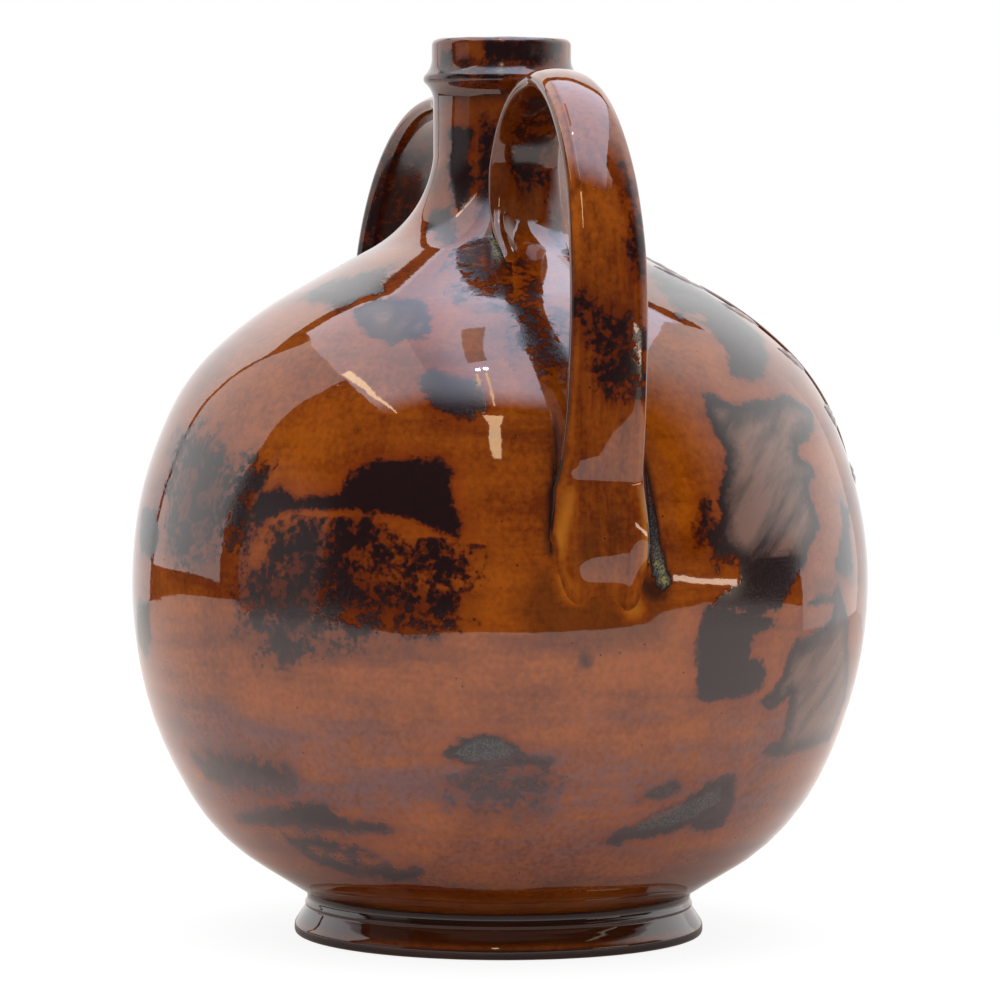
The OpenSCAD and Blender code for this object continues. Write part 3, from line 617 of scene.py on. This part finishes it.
def make_strap(name, top, leg, lean, turn, outlines, inner_loop_shade_dabs):
    """Sweeps the section along the handle; outlines are dabs in degrees and mm up, as on the pot, and the last argument
    lays dark dabs on the loop's inner face as painted shade.
    """
    stations = np.r_[np.linspace(0, 0.1, 5)[:-1], np.linspace(0.1, 5, 200)]
    points, rises, spot = [], [], []
    for u in stations:
        c = strap_middle(u, top, leg)
        v = strap_middle(min(u + 0.004, 5), top, leg) - strap_middle(max(u - 0.004, 0), top, leg)
        n = np.array([-v[1], v[0]]) / np.linalg.norm(v)
        thick, free = HALF * table(u, thicks), -1 if u < 1.5 else 1
        hugging = table(u, [(0, 1), (0.6, 1), (1.15, 0), (3.7, 0), (4.1, 1)])
        seated = u <= 1 or u >= 4
        for q, h in smooth_section:
            rise = free_height(u, q, free * h) if seated else thick * (1 + free * h)
            p = c + free * n * (rise - thick)
            y = q * table(u, widths) + lean * table(u, [(2.6, 0), (4, 1), (4.6, 1), (5, 0.7)])
            seat = GLOBE if p[1] < EQUATOR else float(np.interp(p[1], seat_z, seat_r))
            x = p[0] - hugging * (seat - math.sqrt(max(seat * seat - y * y, 0)))
            r = math.hypot(x, y)
            if (seated and free * h < -0.5) or (r < seat - 0.3 and not seated):
                x, y, rise = x * (seat - 0.3) / r, y * (seat - 0.3) / r, -0.3
            points.append((x, y, p[1]))
            rises.append(rise if seated else 9)
            spot.append((u, q, h))
    m, n = len(smooth_section), len(stations)
    points, rises, spot = np.array(points), np.array(rises), np.array(spot)
    grid = points.reshape(n, m, 3)
    normals = np.cross(np.gradient(grid, axis=0), np.roll(grid, -1, 1) - np.roll(grid, 1, 1)).reshape(-1, 3)
    normals /= np.linalg.norm(normals, axis=1)[:, None]
    # Where the strap melts into the pot it takes over the pot's own normals.
    away = np.hypot(points[:, 0], points[:, 1])
    wall = [np.interp(points[:, 2], seat_z, seat_facing[:, k]) for k in (0, 1)]
    wall = np.c_[points[:, 0] / away * wall[0], points[:, 1] / away * wall[0], wall[1]]
    agree = (normals * wall).sum(1)
    share = (soft(1 - rises / 2.2) * soft((agree - 0.1) / 0.5))[:, None]
    normals = normals * (1 - share) + wall * share
    normals /= np.linalg.norm(normals, axis=1)[:, None]
    faces = [(i * m + j, (i + 1) * m + j, (i + 1) * m + (j + 1) % m, i * m + (j + 1) % m) for i in range(n - 1) for j in range(m)]
    loop_normals = [normals[k] for face in faces for k in face] + [(0, 0, 0)] * (2 * m)
    faces += [tuple(range(m)), tuple(range((n - 1) * m, n * m))[::-1]]
    field, feathers = dab_fields(np.degrees(points[:, 1] / 127), points[:, 2], np.full(len(points), 127.0), outlines)
    c, s = math.cos(turn), math.sin(turn)
    spin = np.array([[c, s, 0], [-s, c, 0], [0, 0, 1]])
    mesh = bpy.data.meshes.new(name)
    mesh.from_pydata((points @ spin * 0.001).tolist(), [], faces)
    mesh.shade_smooth()
    mesh.normals_split_custom_set([tuple(np.array(v) @ spin) for v in loop_normals])
    # Glaze thins over the pinched edges and, at the root, over the two ribs the thumbs left. It
    # lies deep along the arrises and in the crevices beside the root, where the strap's sides are
    # also darkened as painted crevice shade.
    u, q, h = spot.T
    rim = abs(q)
    depth = 0.12 + 0.9 * np.exp(-((rim - 0.975) / 0.016) ** 2) - 0.25 * np.exp(-((rim - 0.86) / 0.07) ** 2)
    left_rib, right_rib = np.interp(u, [3.8, 4.2, 4.6, 4.84], [-0.6, -0.72, -0.9, -0.62]), np.interp(u, [3.8, 4.6, 4.9], [0.93, 0.93, 0.7])
    ribs = np.exp(-((q - left_rib) / 0.12) ** 2) + np.exp(-((q - right_rib) / 0.08) ** 2)
    depth -= 0.8 * np.minimum(ribs, 1) * soft((u - 3.8) / 0.4)
    depth += 0.4 * np.exp(-((q + 0.3) / 0.25) ** 2 - ((u - 4.5) / 0.2) ** 2) + 0.35 * np.exp(-((q - 0.25) / 0.2) ** 2 - ((u - 4.35) / 0.2) ** 2)
    depth += 0.9 * np.exp(-((q - 0.44) / 0.025) ** 2) * soft((u - 1.9) / 0.1) * soft((2.75 - u) / 0.1)
    depth = np.where(h > 0, depth, 0.45)
    # The strap's sides beside the root: pooled glaze, and painted shade of the crevice.
    beside = (rim > 0.9) & (h < 0.3) & (h > -0.7)
    depth = np.where(beside & (u > 3.6) & (u < 4.85), np.where(q > 0, 1 + 0.6 * soft((u - 4.3) / 0.4), 1.0), depth)
    melted = soft(1 - rises / 1.2)
    depth = depth * (1 - melted) + np.where(u > 3, 0.3, 0.1) * melted
    # Dark speckled dabs on the loop's inner face, under the arch and down the far leg: painted shade.
    for (u0, q0), (ru, rq), edge in inner_loop_shade_dabs:
        d = (1 - np.hypot((u - u0) / ru, (q - q0) / rq)) * 12
        better = (d > field) & (h < 0)
        field, feathers = np.where(better, d, field), np.where(better, edge, feathers)
    for title, values in (("dab", field), ("feather", feathers), ("depth", depth), ("pulled", np.ones(len(u)))):
        mesh.attributes.new(title, "FLOAT", "POINT").data.foreach_set("value", values.astype(np.float32))
    mesh.materials.append(glaze)
    piece = bpy.data.objects.new(name, mesh)
    bpy.context.scene.collection.objects.link(piece)
    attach(piece, "root")
    return piece


bead_z = 286.77
near_dabs = read_outlines([
    ("-4.4,212.5 -2.5,209.4 -0.6,206.2 2.2,206.2 3.6,204.7 4.2,200.9 3.9,188.5 2.3,190 0.8,186.9 -0.7,188.5 -2,193.2 -2.3,201 -3.7,205.6", 12),
    ("3.1,256 3.8,257 4.3,246 4.6,236 4.7,228 4.2,223 3.5,224 3.1,234", 8),
])
# Its last list paints shade under the arch as dark speckled dabs on the loop's inner face.
near = make_strap("near_handle_glazed", (NECK + 37, bead_z - 2), 122.5, -3.4, 0, near_dabs, [((1.75, 0.15), (0.25, 0.6), 11), ((1.2, 0.1), (0.3, 0.5), 14)])
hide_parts("near_handle")
far_dabs = read_outlines([
    ("-6,262 4,266 7,240 3,228 -4,236", 12), ("-2,226 6,222 5,196 0,190 -5,204", 9), ("-6,180 4,176 6,150 -4,146", 8),
])
# Its last list paints shade down the far leg's inner face as a dark speckled dab.
far = make_strap("far_handle_glazed", (NECK + 25.3, bead_z - 7.2), 125.8, 0, math.radians(182.4), far_dabs, [((3.2, 0), (0.8, 1.2), 8)])
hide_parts("far_handle")

# ---------------------------------------------------------------------------------------------
# The applied wreath on one face
# Two leafy branches tied at a knot, pressed in sprig moulds from the same clay and luted on
# before glazing. The glaze has run off their high parts and pooled round them.

WREATH_W, WREATH_H, TILT = 33.0, 54.0, math.radians(37)
LEAF_L, LEAF_W, STEM, RELIEF = 21.0, 9.0, 2.6, 1.0


def on_face(flat, rise):
    """Carries flat points (x, y) mm straight onto the globe, rise mm above its wall."""
    x, y = flat.T
    h = np.full(len(x), 120.0)
    for _ in range(40):
        Y = -y * math.sin(TILT) + h * math.cos(TILT)
        Z = EQUATOR + y * math.cos(TILT) + h * math.sin(TILT)
        target = np.where(Z < EQUATOR, GLOBE, np.interp(Z, seat_z, seat_r))
        h -= (np.hypot(x, Y) - target) * 0.7
    across = np.hypot(x, Y)
    dr = np.gradient(seat_r, seat_z)
    tilt = -np.interp(Z, seat_z, dr)
    n = np.c_[-x / across, Y / across, np.where(Z < EQUATOR, 0, tilt)]
    n /= np.linalg.norm(n, axis=1)[:, None]
    return np.c_[-x, Y, Z] + n * rise[:, None]


def relief_mesh(name, sheets):
    """Joins pillowed sheets, each given as a grid of flat points and its height, into one piece with undersides."""
    points, faces, depth = [], [], []
    for grid, rise in sheets:
        rows, cols = rise.shape
        top = on_face(grid.reshape(-1, 2), rise.ravel())
        under = on_face(grid.reshape(-1, 2), np.full(rise.size, -0.5))
        base = len(points)
        edge = np.zeros((rows, cols), bool)
        edge[0] = edge[-1] = True
        edge[:, 0] = edge[:, -1] = True
        low = {}
        points += top.tolist()
        depth += (1.2 - 1.4 * np.clip(rise / RELIEF, 0, 1)).ravel().tolist()
        for k in range(rows * cols):
            if edge.ravel()[k]:
                low[k] = base + k
            else:
                low[k] = len(points)
                points.append(under[k].tolist())
                depth.append(0.35)
        for i in range(rows - 1):
            for j in range(cols - 1):
                a, b, c, d = i * cols + j, i * cols + j + 1, (i + 1) * cols + j + 1, (i + 1) * cols + j
                faces.append((base + a, base + b, base + c, base + d))
                faces.append((low[d], low[c], low[b], low[a]))
    mesh = bpy.data.meshes.new(name)
    mesh.from_pydata((np.array(points) * 0.001).tolist(), [], faces)
    mesh.shade_smooth()
    n = len(points)
    for title, values in (("dab", np.full(n, -25.0)), ("feather", np.full(n, 4.0)), ("depth", np.array(depth))):
        mesh.attributes.new(title, "FLOAT", "POINT").data.foreach_set("value", values.astype(np.float32))
    mesh.materials.append(glaze)
    piece = bpy.data.objects.new(name, mesh)
    bpy.context.scene.collection.objects.link(piece)
    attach(piece, "root")
    return piece


def on_wreath(a, d=0.0):
    return np.array([(WREATH_W + d) * math.cos(a), (WREATH_H + d) * math.sin(a)])


def heading(a):
    return math.atan2(WREATH_H * math.cos(a), -WREATH_W * math.sin(a))


def leaf_sheet(base, angle, side):
    """A laurel leaf: full across the middle, pointed at both ends, with a sunk midrib and soft side veins."""
    u, v = np.meshgrid(np.linspace(0, 1, 23), np.linspace(-1, 1, 13), indexing="ij")
    half = LEAF_W / 2 * np.maximum(np.sin(np.pi * u ** 0.9), 0.01) ** 0.85
    x, y = 1.45 + LEAF_L * u, half * v
    c, s = math.cos(angle), math.sin(angle)
    flat = np.dstack([base[0] + x * c - y * s, base[1] + x * s + y * c])
    flat[..., 0] *= side
    body = (1 - abs(v) ** 2.4) * np.sin(np.pi * np.clip(u, 0.03, 0.97)) ** 0.5
    rise = RELIEF * body * (1 - 0.45 * np.exp(-(v / 0.13) ** 2)) - 0.12 * body * np.sin(26 * u - 5 * abs(v)) - 0.25
    return flat, rise


for side, word in ((-1, "left"), (1, "right")):
    a = np.radians(np.linspace(12 - 90, 52, 46))
    across = np.linspace(-1, 1, 9)
    grid = np.array([[on_wreath(t, STEM / 2 * w) * [side, 1] for w in across] for t in a])
    rise = np.tile(RELIEF * (1 - across ** 2) ** 0.6 - 0.2, (len(a), 1))
    rise[0] = rise[-1] = -0.2
    stem = relief_mesh(word + "_stem_glazed", [(grid if side > 0 else grid[:, ::-1], rise)])
    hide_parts(word + "_stem")
    sheets = []
    for d in (-58, -34, -11, 12, 34):
        for turn in (-1, 1):
            sheets.append(leaf_sheet(on_wreath(math.radians(d + (0 if turn > 0 else 8))), heading(math.radians(d)) + turn * math.radians(34), side))
    sheets.append(leaf_sheet(on_wreath(math.radians(53)), heading(math.radians(52)) - math.radians(8), side))
    sheets.append(leaf_sheet(np.array([WREATH_W / 3.4, -WREATH_H - STEM * 1.4]), math.radians(-20), side))
    if side > 0:
        sheets = [(flat[:, ::-1], rise[:, ::-1]) for flat, rise in sheets]
    leaves = relief_mesh(word + "_leaves_glazed", sheets)
    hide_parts(word + "_leaves")

u, v = np.meshgrid(np.linspace(-1, 1, 17), np.linspace(-1, 1, 17), indexing="ij")
disc = np.dstack([u * np.sqrt(1 - v * v / 2), v * np.sqrt(1 - u * u / 2)])
out = np.clip(np.hypot(disc[..., 0], disc[..., 1]), 0, 1)
knot = relief_mesh("wreath_knot_glazed", [(disc[:, ::-1] * 6.36 + [0, -WREATH_H], (RELIEF * (1 - out ** 4) * (1 - 0.35 * np.exp(-((out - 0.55) / 0.12) ** 2)) - 0.2))])
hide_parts("wreath_knot")

# ---------------------------------------------------------------------------------------------
# The studio: a white table inside a plain light tent that is open towards the camera
# The tent's sheets only show as reflections in the glaze; the plain light on the pot itself
# comes from the world and one soft lamp overhead.

FRONT = Vector((math.cos(math.radians(-16.5)), math.sin(math.radians(-16.5)), 0))
RIGHT = Vector((-FRONT.y, FRONT.x, 0))


def sheet(name, corners, strength, tint="#ffffff", fades=()):
    """A glowing sheet of the tent, as (front, right, up) corners in metres, seen by reflections only.
    Each fade is a direction, the places along it where the glow starts and ends to change, and the end's share."""
    mesh = bpy.data.meshes.new(name)
    mesh.from_pydata([tuple(FRONT * f + RIGHT * r + Vector((0, 0, h))) for f, r, h in corners], [], [tuple(range(len(corners)))])
    glow = bpy.data.materials.new(name)
    glow.use_nodes = True
    tree = glow.node_tree
    tree.nodes.clear()
    power = strength
    for way, first, last, share in fades:
        at = add(tree, "VectorMath", {0: add(tree, "TexCoord").outputs["Object"], 1: tuple(way)}, operation="DOT_PRODUCT").outputs["Value"]
        part = add(tree, "MapRange", {"Value": at, "From Min": first, "From Max": last, "To Min": 1.0, "To Max": share}, interpolation_type="SMOOTHSTEP").outputs[0]
        power = add(tree, "Math", {0: part, 1: power}, operation="MULTIPLY").outputs[0]
    light = add(tree, "Emission", {"Color": linear(tint), "Strength": power})
    add(tree, "OutputMaterial", {"Surface": light.outputs[0]})
    mesh.materials.append(glow)
    piece = bpy.data.objects.new(name, mesh)
    bpy.context.scene.collection.objects.link(piece)
    piece.visible_camera = piece.visible_diffuse = piece.visible_shadow = piece.visible_transmission = piece.visible_volume_scatter = False
    return piece


UP = Vector((0, 0, 1))
sheet("tent_left", [(0.0, -1, 0.1), (-0.9, -1, 0.1), (-0.9, -1, 1.6), (0.0, -1, 1.6)], 1.35)
sheet("tent_back", [(-0.92, -0.96, 0.0), (-0.92, 0.74, 0.0), (-0.92, 0.74, 1.14), (-0.92, -0.96, 1.14)], 1.1, fades=[(UP, 0.1, 1.1, 1.64)])
sheet("tent_right", [(-0.93, 0.72, 0.0), (-0.13, 0.72, 0.0), (-0.09, 0.72, 0.19), (0.5, 0.72, 0.24), (0.5, 0.72, 1.5), (-0.93, 0.72, 1.5)], 1.6, fades=[(FRONT, -0.25, 0.42, 0.0)])
sheet("tent_roof", [(-1.17, -1, 1.6), (-1.17, 1, 1.6), (0.95, 1, 1.6), (0.95, -1, 1.6)], 2.6, "#f2f4ff", fades=[(FRONT, 0.45, 0.95, 0.0)])
sheet("roof_lamp", [(-1.1, -0.46, 1.58), (-1.1, 0.8, 1.58), (1.1, 0.8, 1.58), (1.1, -0.46, 1.58)], 4.0, "#dfe8ff", fades=[(RIGHT, -0.05, -0.45, 0.56), (FRONT, 0.55, 1.05, 0.0)])
sheet("lamp_grid", [(-0.275, -0.169, 1.56), (-0.242, -0.068, 1.56), (0.144, -0.04, 1.56), (0.199, -0.15, 1.56)], 2.3, "#cdb9b2")
sheet("left_bulb", [(0.275, -0.112, 1.55), (0.275, -0.086, 1.55), (0.312, -0.086, 1.55), (0.312, -0.112, 1.55)], 40.0)
sheet("right_bulb", [(0.262, -0.064, 1.55), (0.262, -0.038, 1.55), (0.299, -0.038, 1.55), (0.299, -0.064, 1.55)], 40.0)
sheet("left_glow", [(0.36, -0.118, 1.55), (0.36, -0.104, 1.55), (0.85, -0.108, 1.55), (0.85, -0.122, 1.55)], 8.0, "#ffdcae")
sheet("right_glow", [(0.34, -0.06, 1.55), (0.34, -0.044, 1.55), (0.95, -0.028, 1.55), (0.95, -0.044, 1.55)], 8.0, "#ffdcae")
sheet("door", [(0.15, -1.2, 0.0), (0.86, -1.2, 0.0), (0.86, -1.2, 0.9), (0.15, -1.2, 0.9)], 0.35, fades=[(UP, 0.4, 0.9, 0.06)])
sheet("roof_gap", [(-0.1, -0.97, 1.57), (0.9, -0.88, 1.57), (0.9, -0.865, 1.57), (-0.1, -0.90, 1.57)], 9.0, "#ffe6c4")
sheet("roof_tube", [(1.15, -0.15, 1.55), (1.14, 0.04, 1.55), (1.35, 0.0, 1.55), (1.6, 0.01, 1.55), (1.9, -0.01, 1.55), (1.9, -0.085, 1.55), (1.6, -0.125, 1.55), (1.35, -0.1, 1.55)], 7.0, "#ffe0b0")
sheet("side_window", [(0.4, 1.6, 0.1), (1.2, 1.6, 0.2), (1.2, 1.6, 0.26), (0.4, 1.6, 0.16)], 7.0, "#ffe9d0")


def white_stage(name, corners, height):
    mesh = bpy.data.meshes.new(name)
    mesh.from_pydata([tuple(FRONT * f + RIGHT * r + Vector((0, 0, height))) for f, r in corners], [], [tuple(range(len(corners)))])
    mesh.materials.append(paper)
    piece = bpy.data.objects.new(name, mesh)
    bpy.context.scene.collection.objects.link(piece)
    return piece


# Plain white paper. To the camera it is lit up to white, and it keeps the pot's soft shadow.
paper = bpy.data.materials.new("white_paper")
paper.use_nodes = True
tree = paper.node_tree
tree.nodes.clear()
camera_ray = add(tree, "LightPath").outputs["Is Camera Ray"]
shade = add(tree, "BsdfDiffuse", {"Color": linear("#efe6e1")})
faint = add(tree, "BsdfDiffuse", {"Color": (0.16, 0.16, 0.16, 1)})
white = add(tree, "Emission", {"Color": (1, 1, 1, 1), "Strength": 0.88})
shown = add(tree, "AddShader", {0: faint.outputs[0], 1: white.outputs[0]})
both = add(tree, "MixShader", {0: camera_ray, 1: shade.outputs[0], 2: shown.outputs[0]})
add(tree, "OutputMaterial", {"Surface": both.outputs[0]})
table_top = white_stage("table", [(-0.95, -0.9), (1.0, -2.0), (0.80, -0.98), (0.67, -0.53), (0.58, -0.3), (0.62, -0.09), (0.62, 0.12), (0.71, 0.48), (1.0, 2.0), (-0.95, 0.9)], -0.0002)
floor = white_stage("floor", [(-9, -9), (9, -9), (9, 9), (-9, 9)], -0.0008)
floor.visible_glossy = False

world = bpy.data.worlds.new("studio")
bpy.context.scene.world = world
world.use_nodes = True
tree = world.node_tree
tree.nodes.clear()
path = add(tree, "LightPath")
not_glossy = add(tree, "Math", {0: 1.0, 1: path.outputs["Is Glossy Ray"]}, operation="SUBTRACT").outputs[0]
level_out = add(tree, "Math", {0: not_glossy, 1: 0.95, 2: 0.05}, operation="MULTIPLY_ADD").outputs[0]
sky = add(tree, "Background", {"Color": (1, 1, 1, 1), "Strength": level_out})
add(tree, "OutputWorld", {"Surface": sky.outputs[0]})

lamp = bpy.data.lights.new("overhead_softbox", "AREA")
lamp.size, lamp.energy = 1.6, 12
lamp_at = bpy.data.objects.new("overhead_softbox", lamp)
lamp_at.location = (0.2, -0.1, 1.5)
lamp_at.visible_glossy = False
bpy.context.scene.collection.objects.link(lamp_at)

# The camera stands 1.7 m away at the height of the shoulder and looks down by 3 degrees.
camera = bpy.data.cameras.new("camera")
camera.lens, camera.sensor_width = 181.08, 36
pitch, roll = math.radians(3.125), math.radians(0.2)
look = -FRONT * math.cos(pitch) - UP * math.sin(pitch)
aside = look.cross(UP).normalized()
above = aside.cross(look)
across_picture = aside * math.cos(roll) + above * math.sin(roll)
up_picture = above * math.cos(roll) - aside * math.sin(roll)
camera_at = bpy.data.objects.new("camera", camera)
camera_at.matrix_world = Matrix((across_picture, up_picture, -look)).transposed().to_4x4()
camera_at.location = FRONT * 1.688 + UP * 0.238
camera.clip_start, camera.clip_end = 0.1, 30
bpy.context.scene.collection.objects.link(camera_at)
bpy.context.scene.camera = camera_at
bpy.context.scene.view_settings.view_transform = "Standard"
